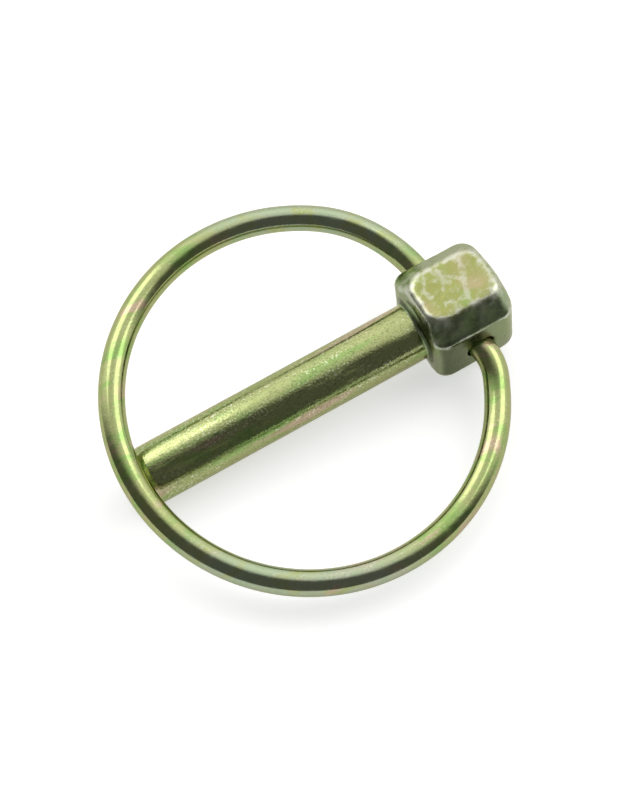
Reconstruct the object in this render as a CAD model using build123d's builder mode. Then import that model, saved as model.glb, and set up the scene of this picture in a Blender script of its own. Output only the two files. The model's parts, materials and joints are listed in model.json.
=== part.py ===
from build123d import *
from math import asin, atan2, cos, degrees, radians, sin, sqrt
import os

os.makedirs("parts", exist_ok=True)

# Shank of the pin: a plain round bar with a tapered nose
shank_diameter = 8.0
parallel_length = 39.5
nose_length = 4.0
nose_end_diameter = 6.2
nose_edge = 0.4
root_fillet = 0.8
root_seat = 1.5

# Head of the pin: a forged block, bevelled round a flat pad on its top and on its underside
head_length = 12.4
head_width = 13.0
head_height = 13.2
bevel_height = 2.6
front_bevel = 0.7
side_bevel = 2.6
end_bevel = 0.9
end_bulge = 0.8
front_corner_radius = 1.8
end_corner_share = 0.19
pad_front_radius = 3.0
pad_end_radius = 2.4
pad_round = 1.1
under_front_bevel = 0.35
under_side_bevel = 1.9
under_front_radius = 2.0
under_round = 0.5
shoulder_round = 0.5

# Bores in the sides of the head, one for each end of the wire, offset along the shank and in height
hinge_share = 0.443
hinge_offset = 0.9
hinge_rise = 0.9
bore_depth = 4.4
bore_clearance = 0.08
bore_mouth = 0.35

# Ring: one length of round spring wire, nearly a full circle, its ends turned into the bores
wire_diameter = 3.5
ring_diameter = 50.0
ring_shift = 1.2
ring_roll = 10.0
first_join_angle = 58.0
last_join_angle = 32.0
crossing_angle = 180.0
stub_depth = 3.9
stub_lead = 0.4
stub_edge = 0.4
rest_gap = 0.12
crossing_share = 0.68

# One overrun for the cuts that start outside the head
overrun = 1.0

# Sizes that follow from the ones above
shank_radius = shank_diameter / 2
nose_end_radius = nose_end_diameter / 2
half_width = head_width / 2
half_height = head_height / 2
shoulder_height = half_height - bevel_height
end_corner_radius = head_length * end_corner_share
wire_radius = wire_diameter / 2
ring_radius = ring_diameter / 2
bore_radius = wire_radius + bore_clearance
tip_x = -parallel_length - nose_length
hinge_inset = head_length * hinge_share
hinge_point = Vector(hinge_inset, 0, 0)
hinge_direction = Vector(-hinge_offset, half_width, hinge_rise).normalized()
mouth_reach = half_width / hinge_direction.Y


def block_outline(height, front_x, end_x, half_side, front_radius, end_radius):
    """A rounded outline of the head at one height, straight at the shank and bulged at the far end."""
    side_end_x = end_x - end_bulge
    with BuildSketch(Plane.XY.offset(height)) as outline:
        with BuildLine():
            Polyline(
                (side_end_x, half_side),
                (front_x, half_side),
                (front_x, -half_side),
                (side_end_x, -half_side),
            )
            ThreePointArc((side_end_x, -half_side), (end_x, 0), (side_end_x, half_side))
        make_face()
        fillet(outline.vertices().group_by(Axis.X)[-1], radius=end_radius)
        fillet(outline.vertices().group_by(Axis.X)[0], radius=front_radius)
    return outline.sketch


# The head: straight walls to the shoulders, then bevels to a pad above and to another below
with BuildPart() as pin:
    waist = block_outline(0, 0, head_length, half_width, front_corner_radius, end_corner_radius)
    top_pad = (1, front_bevel, side_bevel, pad_front_radius, pad_round)
    under_pad = (-1, under_front_bevel, under_side_bevel, under_front_radius, under_round)
    for hand, pad_front, pad_side, pad_corner, rim_round in (top_pad, under_pad):
        shoulder = block_outline(
            hand * shoulder_height, 0, head_length, half_width, front_corner_radius, end_corner_radius
        )
        pad = block_outline(
            hand * half_height,
            pad_front,
            head_length - end_bevel,
            half_width - pad_side,
            pad_corner,
            pad_end_radius,
        )
        extrude(waist, amount=hand * shoulder_height)
        loft(sections=[shoulder.face(), pad.face()], ruled=True)
        pad_rim = pin.edges().filter_by_position(Axis.Z, hand * half_height, hand * half_height)
        fillet(pad_rim, radius=rim_round)
        shoulder_rim = pin.edges().filter_by_position(Axis.Z, hand * shoulder_height, hand * shoulder_height)
        fillet(shoulder_rim, radius=shoulder_round)

    # The shank, turned about its own axis, flares into the head at a small root fillet
    with BuildSketch(Plane.XZ) as bar:
        with BuildLine():
            Polyline((root_seat, 0), (tip_x, 0), (tip_x, nose_end_radius), (-parallel_length, shank_radius))
            Line((-parallel_length, shank_radius), (-root_fillet, shank_radius))
            TangentArc((-root_fillet, shank_radius), (0, shank_radius + root_fillet), tangent=(1, 0))
            Polyline((0, shank_radius + root_fillet), (root_seat, shank_radius + root_fillet), (root_seat, 0))
        make_face()
    revolve(axis=Axis.X)
    nose_rim = pin.edges().filter_by(GeomType.CIRCLE).sort_by(Axis.X)[0]
    chamfer(nose_rim, length=nose_edge)

    # A blind bore in each side, both on the hinge line, with a small chamfer at its mouth
    for hand in (1, -1):
        outward = hinge_direction * hand
        with Locations(Plane(origin=hinge_point + outward * (mouth_reach + overrun), z_dir=outward)):
            Hole(radius=bore_radius, depth=bore_depth + overrun)
    for side in (pin.faces().sort_by(Axis.Y)[0], pin.faces().sort_by(Axis.Y)[-1]):
        chamfer(side.inner_wires()[0].edges(), length=bore_mouth)
pin.part.label = "pin"

# The closed ring leans over the nose, and its circle is rolled about the shank by the spring in it
ring_reach = hinge_inset + parallel_length + nose_length * crossing_share
crossing_radius = shank_radius - (shank_radius - nose_end_radius) * crossing_share
ring_rise = (crossing_radius + wire_radius + rest_gap) / cos(radians(ring_roll))
ring_lean = degrees(asin(ring_rise / ring_reach))
ring_plane = Plane(origin=hinge_point).rotated((0, ring_lean, 0)).rotated((ring_roll, 0, 0))


def on_ring(angle):
    """The point of the ring's circle at an angle counted from the head's side."""
    across = ring_radius * sin(radians(angle))
    along = ring_radius * cos(radians(angle))
    return ring_plane.from_local_coords(Vector(ring_radius - ring_reach + along, across - ring_shift, 0))


def ring_tangent(angle):
    """The direction of the wire at an angle, going from the first bore towards the second."""
    return ring_plane.x_dir * -sin(radians(angle)) + ring_plane.y_dir * cos(radians(angle))


def bend(start, start_direction, end, end_direction):
    """Two tangent arcs that leave start in one direction and come into end in another."""
    span = end - start
    turn = 1 - start_direction.dot(end_direction)
    along = span.dot(start_direction + end_direction)
    arm = (sqrt(along**2 + 2 * turn * span.dot(span)) - along) / (2 * turn)
    first_corner = start + start_direction * arm
    second_corner = end - end_direction * arm
    middle = (first_corner + second_corner) / 2
    TangentArc(start, middle, tangent=start_direction)
    TangentArc(middle, end, tangent=second_corner - first_corner)


# The ring: a straight stub in each bore, two bends, and the round of the ring between them
with BuildPart() as ring:
    first_stub = hinge_point + hinge_direction * (mouth_reach - stub_depth)
    first_exit = hinge_point + hinge_direction * (mouth_reach + stub_lead)
    last_exit = hinge_point - hinge_direction * (mouth_reach + stub_lead)
    last_stub = hinge_point - hinge_direction * (mouth_reach - stub_depth)
    with BuildLine() as route:
        Line(first_stub, first_exit)
        bend(first_exit, hinge_direction, on_ring(first_join_angle), ring_tangent(first_join_angle))
        ThreePointArc(on_ring(first_join_angle), on_ring(crossing_angle), on_ring(-last_join_angle))
        bend(on_ring(-last_join_angle), ring_tangent(-last_join_angle), last_exit, hinge_direction)
        Line(last_exit, last_stub)
    with BuildSketch(Plane(origin=first_stub, z_dir=hinge_direction)):
        Circle(wire_radius)
    sweep(path=route.wires()[0])
    stub_rims = ring.faces().filter_by(GeomType.PLANE).edges()
    chamfer(stub_rims, length=stub_edge)
ring.part.label = "ring"

# Laid down as it rests, on the lower edge of the head and the start of the nose
lay_angle = degrees(atan2(half_height - shank_radius, parallel_length + under_front_bevel + under_round))
for piece in (pin, ring):
    piece.part.move(Location((0, 0, 0), (0, -lay_angle, 0)))
outline = Compound([pin.part, ring.part]).bounding_box()
for piece in (pin, ring):
    piece.part.move(Location((-outline.center().X, -outline.center().Y, -outline.min.Z)))

export_step(pin.part, "parts/pin.step")
export_step(ring.part, "parts/ring.step")
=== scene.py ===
import json
import math

import bpy
import numpy as np
from mathutils import Matrix, Vector


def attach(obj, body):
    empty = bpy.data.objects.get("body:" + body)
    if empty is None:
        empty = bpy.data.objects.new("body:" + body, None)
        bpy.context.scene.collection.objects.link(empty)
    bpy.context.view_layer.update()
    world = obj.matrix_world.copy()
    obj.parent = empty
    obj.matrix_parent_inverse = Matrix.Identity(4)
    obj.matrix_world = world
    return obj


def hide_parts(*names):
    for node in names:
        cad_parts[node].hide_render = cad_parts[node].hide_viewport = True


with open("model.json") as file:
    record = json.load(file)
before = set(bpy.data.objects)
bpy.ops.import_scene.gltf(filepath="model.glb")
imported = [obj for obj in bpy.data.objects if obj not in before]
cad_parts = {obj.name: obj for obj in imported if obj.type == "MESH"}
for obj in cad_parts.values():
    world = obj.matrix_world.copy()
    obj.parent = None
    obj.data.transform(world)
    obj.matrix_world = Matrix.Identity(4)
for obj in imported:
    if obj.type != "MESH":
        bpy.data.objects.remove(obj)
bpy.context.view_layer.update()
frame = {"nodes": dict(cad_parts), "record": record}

bl_info = {
    "name": "Plated lynch pin",
    "version": (1, 0, 0),
    "blender": (4, 5, 0),
    "location": "3D View > Sidebar > Lynch Pin",
    "description": "Dresses the packed lynch pin with a turned shank, a forged head and a bent wire ring",
    "category": "Object",
}

# The plain wall of the shank, from its mount: it runs from the root at the head to the start of the nose
SHANK = frame["record"]["mounts"][0]
TOWARD_TIP = Vector(SHANK["axis"]).normalized()
TOWARD_HEAD = -TOWARD_TIP
SHANK_MIDDLE = Vector(SHANK["pos_m"])
SHANK_WALL = SHANK["dims"]["length_mm"] / 1000
SHANK_RADIUS = SHANK["dims"]["r_mm"] / 1000
ROOT = SHANK_MIDDLE - TOWARD_TIP * SHANK_WALL / 2
NOSE = SHANK_MIDDLE + TOWARD_TIP * SHANK_WALL / 2
LAY_ANGLE = math.atan2(TOWARD_HEAD.z, TOWARD_HEAD.x)

# Lengths in metres: the shank's end inside the head, the cut of the head before the root, and the taper left
# where the chamfer of the nose starts
SEAT_DEPTH = 0.0030
HEAD_CUT = 0.0001
TAPER_LEFT = 0.00004

# Facets round the shank, and the angle up to which two facets are shaded as one surface
SHANK_FACETS = 96
SMOOTH_ANGLE = math.radians(35)

# The wire's route in millimetres, from the end of one stub to the end of the other, and the steps of its arcs
ROUTE = (
    (20.7301, 4.2958, 7.2362),
    (20.1094, 8.5157, 7.7817),
    (17.2310, 15.8022, 9.2789),
    (11.4465, 21.1365, 10.7928),
    (-26.5169, -0.4858, 8.8810),
    (19.7744, -12.6347, 4.4567),
    (21.6353, -9.0912, 5.2237),
    (22.1369, -5.2694, 5.9997),
    (21.5163, -1.0496, 6.5452),
)
ARC_STEPS = (18, 20, 90, 90, 20, 18)

# The middle of the ring from the shank's root, the line through it to the two sides where the film on the
# wire is thin, and the distances along that line over which it thins
RING_MIDDLE = Vector((-0.0172, -0.0012, 0.0))
THIN_SIDES = (0.5, 0.866, 0.0)
THIN_REACH = (0.018, 0.0245)

# How much of its noise each tint takes to come in
GREEN_FADE = 0.20
ROSE_FADE = 0.16

# Where the finish of the head changes, in metres from the shank's root
PAD_UP = (0.0061, 0.00645)
# The rim and lip bands are painted pale, partly as wear and partly as a painted highlight on the rounded rim
RIM_UP = (0.0050, 0.0058)
LIP_UP = (0.0040, 0.0050)
LIP_ALONG = (0.0024, 0.0008)
BORES_UP = (0.0028, 0.0036)
# The near-side bands bound a painted shade: the near side of the head is painted darker, most near the shank's
# root
SHADED_SIDE_ACROSS = (-0.0056, -0.0063)
SHADED_SIDE_ALONG = (0.0010, 0.0105)

# Painted shade and wear by how proud a point stands: where a sunken spot is painted darker as shade, where an
# edge is painted pale as wear and partly as a highlight, what the pad's rim, the front lip and the blotches add
# to it, and the passes that even it out
SHADED_HOLLOW_PROUD = (-20.0, -160.0)
# The pale edges, rim and lip below are partly wear and partly a painted highlight
WORN_AND_HIGHLIT_PROUD = (90.0, 300.0)
RIM_WEAR_AND_HIGHLIGHT = 110.0
LIP_WEAR_AND_HIGHLIGHT = 120.0
BLOTCH_WEAR = (-130.0, 70.0)
WEAR_PASSES = 6

# Rubbed strokes on the pad in millimetres, along and across it from the root: start, end, width
PAD_RUBS = (
    ((9.60, 3.00), (7.60, -2.70), 0.62),
    ((8.20, 0.50), (6.50, 1.70), 0.55),
    ((6.50, 1.70), (5.50, 0.10), 0.50),
    ((6.10, 3.00), (6.60, 0.60), 0.42),
    ((4.60, -1.80), (7.40, -2.40), 0.36),
    ((4.30, 2.80), (3.10, 1.00), 0.40),
    ((3.10, 1.00), (3.50, -0.20), 0.40),
)

# The share of a stroke's width that is rubbed fully, and how far the strokes wander in metres
STROKE_CORE = 0.35
STROKE_WANDER = 0.0014

# Depth in metres of the bump of the finishes
GRAIN_DEPTH = 0.00006

# The side of the room that the light comes from, how it fades in, and its brightness by the sine of the height
PALE_SIDE = (0.574, 0.819, 0.0)
PALE_FADE = (-0.17, 0.24)
WINDOW_BAND = ((0.0, 0.62), (0.26, 0.78), (0.57, 0.96), (0.80, 1.0), (0.92, 0.83), (1.0, 0.65))

# Two soft boxes by their direction from the object, with their distance and size in metres
SOFT_BOXES = {"left_box": (-0.207, 0.636, 0.743), "right_box": (0.692, -0.060, 0.719)}
BOX_DISTANCE = 0.45
BOX_SIZE = (0.20, 0.28)

# The grey of the floor, and the white of its lift and of the room
FLOOR_GREY = (0.64, 0.64, 0.64, 1.0)
WHITE = (1.0, 1.0, 1.0, 1.0)

# The camera's place in metres and its turn in degrees
CAMERA_PLACE = (-0.0409231, -0.0975221, 0.2127441)
CAMERA_TURN = (26.7775, 3.2365, -28.5267)


def colour(name, description, default):
    """A colour setting."""
    return bpy.props.FloatVectorProperty(
        name=name, description=description, default=default, size=3, min=0.0, max=1.0, subtype="COLOR"
    )


def length(name, description, default):
    """A length setting, in metres."""
    return bpy.props.FloatProperty(
        name=name, description=description, default=default, min=0.0, precision=5, unit="LENGTH"
    )


def share(name, description, default):
    """A setting from none to all."""
    return bpy.props.FloatProperty(
        name=name, description=description, default=default, min=0.0, max=1.0, subtype="FACTOR"
    )


def amount(name, description, default, unit="NONE"):
    """A setting of nothing or more."""
    return bpy.props.FloatProperty(name=name, description=description, default=default, min=0.0, unit=unit)


class PlatingSettings(bpy.types.PropertyGroup):
    """Colours and gloss of the yellow zinc plating."""

    yellow: colour("Yellow", "Main olive yellow of the plating", (0.305, 0.335, 0.142))
    green: colour("Green", "Green tint where the film is thicker", (0.215, 0.322, 0.10))
    rose: colour("Rose", "Rose tan tint where the film is thinner", (0.42, 0.31, 0.22))
    forged: colour("Forged", "Grey green of the forged sides of the head", (0.25, 0.295, 0.18))
    pad: colour("Pad", "Yellow of the flat pad on the head", (0.256, 0.270, 0.090))
    # This colour is painted shade on the near side and in the recesses of the head, and also the random darker
    # blotches and pits
    shade_and_dark_tone: colour("Hollow", "Dark green in the hollows and on the near side", (0.07, 0.09, 0.05))
    # This pale colour is real rubbing on the pad, and also a painted highlight on the head's rim and front lip
    pale_wear_and_highlight: colour("Worn", "Pale metal where the film is rubbed through", (0.48, 0.49, 0.40))
    thin: colour("Thin", "Grey green where the film on the wire is thin", (0.31, 0.36, 0.26))
    speck: colour("Speck", "Bright specks on the drawn bar and wire", (0.66, 0.68, 0.52))
    edge: colour("Edge", "Tint of the metal seen at a flat angle", (0.80, 0.76, 0.66))
    gloss: share("Gloss", "Lowest roughness of the plating", 0.09)
    dull: share("Dull", "Roughness of the duller plating", 0.22)


class PinSettings(bpy.types.PropertyGroup):
    """Sizes of the shank and of the forged head."""

    nose_length: length("Nose length", "Length of the tapered nose", 0.0040)
    nose_end: length("Nose end", "Radius of the nose at its end", 0.0031)
    nose_edge: length("Nose edge", "Chamfer at the end of the nose", 0.0004)
    voxel: length("Voxel", "Grain of the forged head's mesh", 0.00016)
    dent: length("Dent", "Depth of the shallow dents of the forging", 0.00014)


class RingSettings(bpy.types.PropertyGroup):
    """Sizes of the wire ring."""

    wire: length("Wire", "Radius of the wire", 0.001747)
    stub_edge: length("Stub edge", "Chamfer at each end of the wire", 0.0004)
    facets: bpy.props.IntProperty(
        name="Facets", description="Facets round the wire", default=48, min=12, max=96
    )


class StageSettings(bpy.types.PropertyGroup):
    """Floor, room, lamps and camera."""

    floor: length("Floor", "Width of the floor", 6.0)
    lift: share("Lift", "Light that the floor adds to what it is given", 0.56)
    key: amount("Key", "Power of each soft box", 0.28, "POWER")
    pale: amount("Pale side", "Brightness of the windows' side", 1.62)
    dim: amount("Dim side", "Brightness of the near side", 0.17)
    lens: amount("Lens", "Focal length of the camera", 80.2125, "CAMERA")


def start_mesh():
    """Leave edit mode and let go of every object."""
    if bpy.context.object and bpy.context.object.mode != "OBJECT":
        bpy.ops.object.mode_set(mode="OBJECT")
    bpy.ops.object.select_all(action="DESELECT")


def pick(piece):
    """Make a piece the active one, and the only one selected."""
    start_mesh()
    piece.select_set(True)
    bpy.context.view_layer.objects.active = piece


def outward(piece):
    """Merge doubles and turn all faces of a closed piece outwards."""
    bpy.ops.object.mode_set(mode="EDIT")
    bpy.ops.mesh.select_all(action="SELECT")
    bpy.ops.mesh.remove_doubles(threshold=1e-7)
    bpy.ops.mesh.normals_make_consistent(inside=False)
    bpy.ops.object.mode_set(mode="OBJECT")
    piece.data.update()


def apply_all(piece):
    """Apply every modifier of a piece in order."""
    pick(piece)
    for modifier in list(piece.modifiers):
        bpy.ops.object.modifier_apply(modifier=modifier.name)


def add_circle(name, centre, direction, radius, facets):
    """A filled circle facing along a direction, left in edit mode with its face selected."""
    start_mesh()
    turn = direction.to_track_quat("Z", "Y").to_euler()
    bpy.ops.mesh.primitive_circle_add(
        vertices=facets, radius=radius, fill_type="NGON", location=centre, rotation=turn
    )
    piece = bpy.context.object
    piece.name = name
    piece.data.name = name
    pick(piece)
    bpy.ops.object.transform_apply(location=True, rotation=True, scale=True)
    bpy.ops.object.mode_set(mode="EDIT")
    bpy.ops.mesh.select_all(action="SELECT")
    return piece


def draw_out(step):
    """Extrude the selected end face by a step."""
    bpy.ops.mesh.extrude_region_move(TRANSFORM_OT_translate={"value": step})


def narrow(share_left, centre):
    """Scale the selected end face about its centre."""
    bpy.ops.transform.resize(value=(share_left, share_left, share_left), center_override=centre)


def mark_edges(piece):
    """Write how far each point stands proud of its neighbours, above zero on an edge, to an attribute."""
    mesh = piece.data
    count = len(mesh.vertices)

    def read(kind):
        values = np.empty(count * 3)
        mesh.vertices.foreach_get(kind, values)
        return values.reshape(-1, 3)

    places, normals = read("co"), read("normal")
    ends = np.empty(len(mesh.edges) * 2, dtype=np.int64)
    mesh.edges.foreach_get("vertices", ends)
    first, second = ends.reshape(-1, 2).T
    joined = np.bincount(first, minlength=count) + np.bincount(second, minlength=count)

    def neighbours(values):
        total = np.bincount(first, values[second], count) + np.bincount(second, values[first], count)
        return total / joined

    middles = np.stack([neighbours(places[:, axis]) for axis in range(3)], axis=1)
    square_edge = np.mean(np.sum((places[first] - places[second]) ** 2, axis=1))
    proud = np.sum((places - middles) * normals, axis=1) / square_edge
    for _ in range(WEAR_PASSES):
        proud = (proud + neighbours(proud)) / 2
    layer = mesh.attributes.new("proud", "FLOAT", "POINT")
    layer.data.foreach_set("value", proud.astype(np.float32))


class Nodes:
    """Short ways to add and join the nodes of a tree."""

    def __init__(self, tree):
        self.tree = tree

    def put(self, value, socket):
        """Link an output to a socket, or set the socket to a plain value."""
        if isinstance(value, bpy.types.NodeSocket):
            self.tree.links.new(value, socket)
        else:
            socket.default_value = value

    def add(self, kind, inputs=None, **settings):
        """A node with its settings, and with its inputs by name or number."""
        node = self.tree.nodes.new(kind)
        for key, value in settings.items():
            setattr(node, key, value)
        for key, value in (inputs or {}).items():
            self.put(value, node.inputs[key])
        return node

    def ramp(self, value, low, high, start=0.0, end=1.0):
        """Start where the value is low and end where it is high, with a soft step between them."""
        return self.add(
            "ShaderNodeMapRange",
            {"Value": value, "From Min": low, "From Max": high, "To Min": start, "To Max": end},
            interpolation_type="SMOOTHSTEP",
        ).outputs["Result"]

    def maths(self, operation, first, second=0.0):
        """One operation on one or two values."""
        return self.add("ShaderNodeMath", {0: first, 1: second}, operation=operation).outputs[0]

    def product(self, first, second):
        """Two values multiplied."""
        return self.maths("MULTIPLY", first, second)

    def total(self, first, second):
        """Two values added."""
        return self.maths("ADD", first, second)

    def vectors(self, operation, first, second=(0.0, 0.0, 0.0)):
        """One operation on one or two vectors."""
        node = self.add("ShaderNodeVectorMath", {0: first, 1: second}, operation=operation)
        return node.outputs["Value" if operation in ("LENGTH", "DOT_PRODUCT") else "Vector"]

    def scaled(self, vector, scale):
        """A vector made longer or shorter."""
        node = self.add("ShaderNodeVectorMath", {0: vector, "Scale": scale}, operation="SCALE")
        return node.outputs["Vector"]


class Plating(Nodes):
    """The nodes of one plated finish, in the shank's own axes from its root."""

    def __init__(self, name):
        self.material = bpy.data.materials.new(name)
        self.material.use_nodes = True
        super().__init__(self.material.node_tree)
        self.shader = self.tree.nodes["Principled BSDF"]
        self.shader.inputs["Metallic"].default_value = 1.0
        from_root = self.move(self.add("ShaderNodeTexCoord").outputs["Object"], step=-ROOT)
        self.place = self.add(
            "ShaderNodeVectorRotate",
            {"Vector": from_root, "Axis": (0.0, 1.0, 0.0), "Angle": LAY_ANGLE},
            rotation_type="AXIS_ANGLE",
        ).outputs["Vector"]

    def move(self, place, step, stretch=(1.0, 1.0, 1.0)):
        """A place drawn out along the axes and then moved by a step."""
        return self.add(
            "ShaderNodeMapping", {"Vector": place, "Location": step, "Scale": stretch}, vector_type="POINT"
        ).outputs["Vector"]

    def noise(self, place, scale, detail=2.0, rough=0.5, distortion=0.0, output="Fac"):
        """Clouds with about scale of them to a metre."""
        return self.add(
            "ShaderNodeTexNoise",
            {"Vector": place, "Scale": scale, "Detail": detail, "Roughness": rough, "Distortion": distortion},
        ).outputs[output]

    def mix(self, factor, first, second):
        """The first colour where the factor is 0 and the second where it is 1."""
        node = self.add("ShaderNodeMix", data_type="RGBA")
        sockets = {socket.identifier: socket for socket in node.inputs}
        self.put(factor, sockets["Factor_Float"])
        for key, value in (("A_Color", first), ("B_Color", second)):
            plain = not isinstance(value, bpy.types.NodeSocket)
            self.put((*value, 1.0) if plain else value, sockets[key])
        return next(socket for socket in node.outputs if socket.identifier == "Result_Color")

    def stroke(self, place, start, end, width):
        """A mask that is 1 along a line from start to end and falls to 0 at its width."""
        line = end - start
        from_start = self.vectors("SUBTRACT", place, start)
        along = self.maths("DIVIDE", self.vectors("DOT_PRODUCT", from_start, line), line.length_squared)
        along = self.add("ShaderNodeClamp", {"Value": along}).outputs["Result"]
        distance = self.vectors("LENGTH", self.vectors("SUBTRACT", from_start, self.scaled(line, along)))
        return self.ramp(distance, low=STROKE_CORE * width, high=width, start=1.0, end=0.0)

    def finish(self, film, rough, height, strength, edge):
        """Join the finish to the shader and hand its material over."""
        inputs = self.shader.inputs
        bump = self.add("ShaderNodeBump", {"Height": height, "Strength": strength, "Distance": GRAIN_DEPTH})
        self.put(film, inputs["Base Color"])
        self.put(rough, inputs["Roughness"])
        self.put((*edge, 1.0), inputs["Specular Tint"])
        self.put(bump.outputs["Normal"], inputs["Normal"])
        return self.material


def drawn_plating(name, settings, stretch, green_from, rose_from, grit, thin):
    """Plating on a drawn bar or wire: long green and rose tints, fine grain and patches of pale specks."""
    made = Plating(name)
    lengthwise = (stretch, 1.0, 1.0)
    drawn = made.move(made.place, step=(0.0, 0.0, 0.0), stretch=lengthwise)
    other = made.move(made.place, step=(0.031, 0.017, 0.023), stretch=lengthwise)
    tint = made.noise(drawn, scale=420.0, detail=3.0, rough=0.6, distortion=0.4)
    flush = made.noise(other, scale=330.0, detail=3.0, rough=0.55, distortion=0.5)
    streak = made.noise(drawn, scale=900.0, rough=0.6)
    ripple = made.noise(drawn, scale=420.0)
    patch = made.noise(other, scale=650.0)
    mist = made.noise(other, scale=800.0, detail=3.0, rough=0.65)
    grain = made.noise(made.place, scale=3600.0, detail=1.0)

    greener = made.ramp(tint, low=green_from, high=green_from + GREEN_FADE)
    film = made.mix(greener, settings.yellow, settings.green)
    rosier = made.ramp(flush, low=rose_from, high=rose_from + ROSE_FADE, end=0.85)
    film = made.mix(rosier, film, settings.rose)
    off_middle = made.vectors("SUBTRACT", made.place, RING_MIDDLE)
    off_middle = made.maths("ABSOLUTE", made.vectors("DOT_PRODUCT", off_middle, THIN_SIDES))
    thinner = made.product(made.ramp(off_middle, *THIN_REACH), made.ramp(tint, low=0.3, high=0.5))
    film = made.mix(made.product(thinner, thin), film, settings.thin)
    patches = made.ramp(patch, low=0.42, high=0.62, start=0.2 * grit, end=1.3 * grit)
    specks = made.product(made.ramp(grain, low=0.57, high=0.68), patches)
    film = made.mix(specks, film, settings.speck)
    pits = made.ramp(grain, low=0.45, high=0.33, end=0.8 * grit)
    film = made.mix(pits, film, settings.shade_and_dark_tone)

    bloom = made.ramp(mist, low=0.50, high=0.68, end=0.5 * grit)
    streaks = made.ramp(streak, low=0.3, high=0.75, start=settings.gloss, end=settings.dull)
    height = made.total(made.product(grain, 1.1 * grit), made.product(ripple, 0.6))
    return made.finish(film, made.total(streaks, bloom), height, strength=0.60, edge=settings.edge)


def forged_plating(name, settings):
    """Plating on the forged head: grey green sides with a painted shade on the near side and in the recesses, a
    yellow rubbed pad, and pale edges that are partly wear and partly a painted highlight.
    """
    made = Plating(name)
    other = made.move(made.place, step=(0.013, 0.029, 0.011))
    cloud = made.noise(made.place, scale=260.0, detail=3.0, rough=0.6, distortion=0.4)
    flush = made.noise(other, scale=150.0, distortion=0.3)
    blotch = made.noise(made.place, scale=620.0, detail=4.0, rough=0.65)
    grain = made.noise(made.place, scale=2400.0, detail=3.0, rough=0.65)
    proud = made.add("ShaderNodeAttribute", attribute_name="proud").outputs["Fac"]
    along, across, up = made.add("ShaderNodeSeparateXYZ", {"Vector": made.place}).outputs
    on_pad = made.ramp(up, *PAD_UP)

    # The sides with a painted shade on the near one, then the pad, then a painted shade in the recesses
    film = made.mix(made.ramp(cloud, low=0.42, high=0.66, end=0.5), settings.forged, settings.green)
    film = made.mix(made.ramp(blotch, low=0.50, high=0.30, end=0.4), film, settings.shade_and_dark_tone)
    dark = made.ramp(along, *SHADED_SIDE_ALONG, start=0.92, end=0.28)
    film = made.mix(made.product(made.ramp(across, *SHADED_SIDE_ACROSS), dark), film, settings.shade_and_dark_tone)
    pad_film = made.mix(made.ramp(cloud, low=0.45, high=0.70, end=0.6), settings.pad, settings.green)
    pad_film = made.mix(made.ramp(flush, low=0.50, high=0.68, end=0.55), pad_film, settings.rose)
    film = made.mix(on_pad, film, pad_film)
    # Painted shade: points sunk below their neighbours are painted darker
    film = made.mix(made.ramp(proud, *SHADED_HOLLOW_PROUD), film, settings.shade_and_dark_tone)

    # Strokes and spots where the pad is rubbed through
    wander = made.noise(made.place, scale=900.0, detail=3.0, rough=0.6, output="Color")
    wander = made.scaled(made.vectors("SUBTRACT", wander, (0.5, 0.5, 0.5)), STROKE_WANDER)
    flat = made.vectors("MULTIPLY", made.vectors("ADD", made.place, wander), (1.0, 1.0, 0.0))
    rubs = 0.0
    for start, end, width in PAD_RUBS:
        start, end = Vector((*start, 0)) / 1000, Vector((*end, 0)) / 1000
        rubs = made.maths("MAXIMUM", made.stroke(flat, start, end, width / 1000), rubs)
    rubs = made.product(rubs, made.ramp(blotch, low=0.32, high=0.56, start=0.05, end=0.55))
    rubs = made.maths("MAXIMUM", rubs, made.ramp(blotch, low=0.66, high=0.76, end=0.4))
    rubs = made.product(rubs, on_pad)

    # Edges painted pale, partly as wear and partly as a painted highlight, most at the pad's rim and the front
    # lip, and not at the bores
    lip = made.product(made.ramp(along, *LIP_ALONG), made.ramp(up, *LIP_UP, end=LIP_WEAR_AND_HIGHLIGHT))
    rim = made.total(made.ramp(up, *RIM_UP, end=RIM_WEAR_AND_HIGHLIGHT), lip)
    least, most = BLOTCH_WEAR
    wear_and_highlight = made.total(made.total(proud, rim), made.ramp(blotch, low=0.3, high=0.7, start=least, end=most))
    off_bores = made.ramp(made.maths("ABSOLUTE", up), *BORES_UP)
    edges = made.product(made.ramp(wear_and_highlight, *WORN_AND_HIGHLIT_PROUD, end=0.85), off_bores)
    film = made.mix(made.maths("MAXIMUM", edges, rubs), film, settings.pale_wear_and_highlight)

    rough = made.ramp(blotch, low=0.3, high=0.7, start=settings.dull, end=settings.dull + 0.16)
    height = made.total(made.product(grain, 0.5), blotch)
    return made.finish(film, rough, height, strength=0.45, edge=settings.edge)


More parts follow.
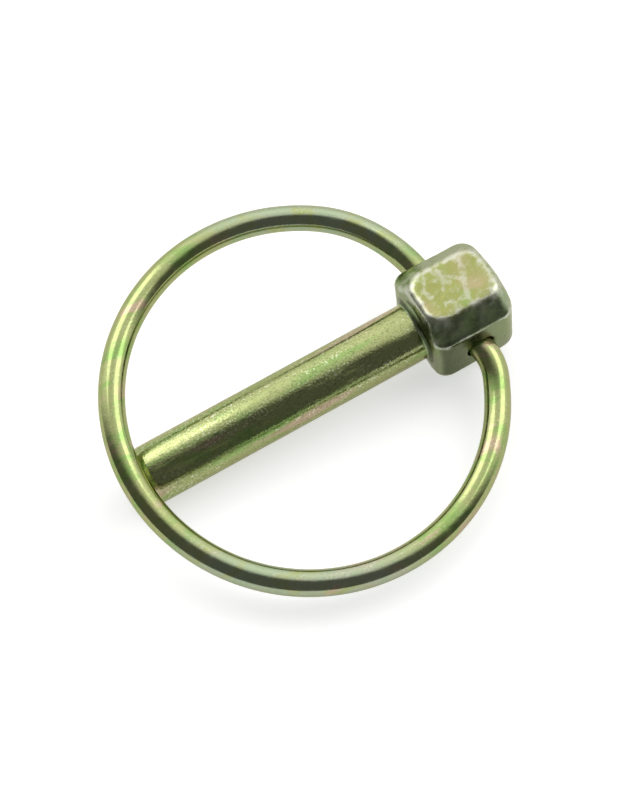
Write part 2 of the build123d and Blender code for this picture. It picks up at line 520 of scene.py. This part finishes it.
class LYNCHPIN_OT_shank(bpy.types.Operator):
    """Turn the plain shank with its tapered nose"""

    bl_idname = "lynchpin.shank"
    bl_label = "Shank"

    def execute(self, context):
        pin, finish = context.scene.lynch_pin, context.scene.lynch_plating
        seat = ROOT + TOWARD_HEAD * SEAT_DEPTH
        tip = NOSE + TOWARD_TIP * pin.nose_length
        taper_end = pin.nose_end + TAPER_LEFT
        shank = add_circle("pin_shank", seat, TOWARD_TIP, SHANK_RADIUS, SHANK_FACETS)
        draw_out(NOSE - seat)
        draw_out(TOWARD_TIP * (pin.nose_length - pin.nose_edge))
        narrow(taper_end / SHANK_RADIUS, tip - TOWARD_TIP * pin.nose_edge)
        draw_out(TOWARD_TIP * pin.nose_edge)
        narrow((pin.nose_end - pin.nose_edge) / taper_end, tip)
        outward(shank)
        soften = shank.modifiers.new("soft_edges", "BEVEL")
        soften.width = 0.00012
        soften.segments = 3
        soften.limit_method = "ANGLE"
        soften.angle_limit = math.radians(8)
        apply_all(shank)
        bpy.ops.object.shade_smooth_by_angle(angle=SMOOTH_ANGLE)
        plating = drawn_plating(
            "plated_shank", finish, stretch=0.15, green_from=0.47, rose_from=0.55, grit=0.45, thin=0.0
        )
        shank.data.materials.append(plating)
        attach(shank, "pin")
        return {"FINISHED"}


class LYNCHPIN_OT_head(bpy.types.Operator):
    """Cut the head from a copy of the solid pin and give it the softened form of a forging"""

    bl_idname = "lynchpin.head"
    bl_label = "Forged head"

    def execute(self, context):
        pin, finish = context.scene.lynch_pin, context.scene.lynch_plating
        head = bpy.data.objects.new("pin_head", frame["nodes"]["pin"].data.copy())
        head.data.name = "pin_head"
        head.data.materials.clear()
        context.scene.collection.objects.link(head)
        pick(head)
        bpy.ops.object.mode_set(mode="EDIT")
        bpy.ops.mesh.select_all(action="SELECT")
        bpy.ops.mesh.remove_doubles(threshold=1e-6)
        bpy.ops.mesh.bisect(
            plane_co=ROOT + TOWARD_TIP * HEAD_CUT, plane_no=TOWARD_TIP, use_fill=True, clear_outer=True
        )
        bpy.ops.object.mode_set(mode="OBJECT")
        grain = head.modifiers.new("even_mesh", "REMESH")
        grain.mode = "VOXEL"
        grain.voxel_size = pin.voxel
        soften = head.modifiers.new("soft_form", "SMOOTH")
        soften.factor = 0.5
        soften.iterations = 16
        dents = bpy.data.textures.new("forging_dents", "CLOUDS")
        dents.noise_scale = 0.0035
        dents.noise_depth = 2
        shallow = head.modifiers.new("dents", "DISPLACE")
        shallow.texture = dents
        shallow.texture_coords = "LOCAL"
        shallow.strength = pin.dent
        shallow.mid_level = 0.9
        apply_all(head)
        bpy.ops.object.shade_smooth()
        mark_edges(head)
        head.data.materials.append(forged_plating("plated_head", finish))
        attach(head, "pin")
        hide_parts("pin")
        return {"FINISHED"}


class LYNCHPIN_OT_ring(bpy.types.Operator):
    """Bend the wire ring, one spin for each arc and a straight draw for each stub"""

    bl_idname = "lynchpin.ring"
    bl_label = "Wire ring"

    def arc(self, start, direction, end, steps):
        """Spin the selected end face along the arc that leaves start in a direction and reaches end."""
        chord = end - start
        axis = direction.cross(chord).normalized()
        angle = 2 * direction.angle(chord)
        inward = axis.cross(direction)
        centre = start + inward * (chord.length / 2 / math.sin(angle / 2))
        bpy.ops.mesh.spin(steps=steps, angle=-angle, center=centre, axis=axis)
        return Matrix.Rotation(angle, 3, axis) @ direction

    def execute(self, context):
        wire, finish = context.scene.lynch_ring, context.scene.lynch_plating
        points = [Vector(point) / 1000 for point in ROUTE]
        direction = (points[1] - points[0]).normalized()
        end_radius = wire.wire - wire.stub_edge
        ring = add_circle("ring_wire", points[0], direction, end_radius, wire.facets)
        draw_out(direction * wire.stub_edge)
        narrow(wire.wire / end_radius, points[0] + direction * wire.stub_edge)
        draw_out(points[1] - points[0] - direction * wire.stub_edge)
        for start, end, steps in zip(points[1:], points[2:], ARC_STEPS):
            direction = self.arc(start, direction, end, steps)
        draw_out(points[-1] - points[-2] - direction * wire.stub_edge)
        draw_out(direction * wire.stub_edge)
        narrow(end_radius / wire.wire, points[-1])
        outward(ring)
        bpy.ops.object.shade_smooth_by_angle(angle=SMOOTH_ANGLE)
        plating = drawn_plating(
            "plated_wire", finish, stretch=0.5, green_from=0.44, rose_from=0.54, grit=0.12, thin=0.8
        )
        ring.data.materials.append(plating)
        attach(ring, "ring")
        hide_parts("ring")
        return {"FINISHED"}


class LYNCHPIN_OT_stage(bpy.types.Operator):
    """Lay a pale floor, light the room and set the lamps and the camera"""

    bl_idname = "lynchpin.stage"
    bl_label = "Stage"

    def lay_floor(self, context, stage):
        """A pale floor that is lifted to white for what the eye and the metal see of it."""
        start_mesh()
        bpy.ops.mesh.primitive_grid_add(x_subdivisions=4, y_subdivisions=4, size=stage.floor)
        floor = context.object
        floor.name = "floor"
        pale = bpy.data.materials.new("pale_floor")
        pale.use_nodes = True
        made = Nodes(pale.node_tree)
        inputs = made.tree.nodes["Principled BSDF"].inputs
        inputs["Base Color"].default_value = FLOOR_GREY
        inputs["Roughness"].default_value = 0.9
        inputs["Specular IOR Level"].default_value = 0.0
        inputs["Emission Color"].default_value = WHITE
        rays = made.add("ShaderNodeLightPath").outputs
        seen = rays["Is Camera Ray"]
        for kind in ("Is Glossy Ray", "Is Transmission Ray"):
            seen = made.maths("MAXIMUM", seen, rays[kind])
        made.put(made.product(seen, stage.lift), inputs["Emission Strength"])
        floor.data.materials.append(pale)

    def light_room(self, context, stage):
        """A room that is pale on the windows' side, most at half height, and dim on the near side."""
        world = bpy.data.worlds.new("room")
        world.use_nodes = True
        made = Nodes(world.node_tree)
        direction = made.add("ShaderNodeTexCoord").outputs["Generated"]
        side = made.ramp(made.vectors("DOT_PRODUCT", direction, PALE_SIDE), *PALE_FADE, end=stage.pale)
        up = made.add("ShaderNodeSeparateXYZ", {"Vector": direction}).outputs["Z"]
        band = made.add("ShaderNodeValToRGB", {"Fac": up})
        band.color_ramp.interpolation = "EASE"
        stops = band.color_ramp.elements
        stops.remove(stops[1])
        for step, (height, bright) in enumerate(WINDOW_BAND):
            stop = stops.new(height) if step else stops[0]
            stop.position = height
            stop.color = (bright, bright, bright, 1.0)
        room = made.add(
            "ShaderNodeMath", {0: side, 1: band.outputs["Color"], 2: stage.dim}, operation="MULTIPLY_ADD"
        )
        background = made.tree.nodes["Background"].inputs
        background["Color"].default_value = WHITE
        made.put(room.outputs[0], background["Strength"])
        context.scene.world = world

    def hang_lamp(self, context, name, direction, power):
        """A soft box that faces the middle of the object."""
        data = bpy.data.lights.new(name, "AREA")
        data.shape = "RECTANGLE"
        data.size, data.size_y = BOX_SIZE
        data.energy = power
        lamp = bpy.data.objects.new(name, data)
        context.scene.collection.objects.link(lamp)
        lamp.location = Vector(direction).normalized() * BOX_DISTANCE
        lamp.rotation_euler = Vector(direction).to_track_quat("Z", "Y").to_euler()

    def set_camera(self, context, stage):
        """A camera that looks down on the object from its near side."""
        eye = bpy.data.cameras.new("camera")
        eye.lens = stage.lens
        eye.sensor_width = 36.0
        eye.clip_start = 0.01
        camera = bpy.data.objects.new("camera", eye)
        context.scene.collection.objects.link(camera)
        camera.location = CAMERA_PLACE
        camera.rotation_euler = [math.radians(angle) for angle in CAMERA_TURN]
        context.scene.camera = camera

    def execute(self, context):
        stage = context.scene.lynch_stage
        self.lay_floor(context, stage)
        self.light_room(context, stage)
        for name, direction in SOFT_BOXES.items():
            self.hang_lamp(context, name, direction, stage.key)
        self.set_camera(context, stage)
        context.scene.view_settings.view_transform = "Standard"
        return {"FINISHED"}


class VIEW3D_PT_lynch_pin(bpy.types.Panel):
    """Settings and operators of the lynch pin"""

    bl_label = "Lynch Pin"
    bl_space_type = "VIEW_3D"
    bl_region_type = "UI"
    bl_category = "Lynch Pin"

    def draw(self, context):
        layout = self.layout
        for operator in OPERATORS:
            layout.operator(operator.bl_idname)
        for group in GROUPS:
            settings = getattr(context.scene, group)
            for name in settings.__annotations__:
                layout.prop(settings, name)


OPERATORS = (LYNCHPIN_OT_shank, LYNCHPIN_OT_head, LYNCHPIN_OT_ring, LYNCHPIN_OT_stage)
GROUPS = {
    "lynch_plating": PlatingSettings,
    "lynch_pin": PinSettings,
    "lynch_ring": RingSettings,
    "lynch_stage": StageSettings,
}
CLASSES = (*GROUPS.values(), *OPERATORS, VIEW3D_PT_lynch_pin)


def register():
    for made in CLASSES:
        bpy.utils.register_class(made)
    for name, group in GROUPS.items():
        setattr(bpy.types.Scene, name, bpy.props.PointerProperty(type=group))


def unregister():
    for name in GROUPS:
        delattr(bpy.types.Scene, name)
    for made in reversed(CLASSES):
        bpy.utils.unregister_class(made)


def main():
    register()
    bpy.ops.lynchpin.shank()
    bpy.ops.lynchpin.head()
    bpy.ops.lynchpin.ring()
    bpy.ops.lynchpin.stage()


if __name__ == "__main__":
    main()
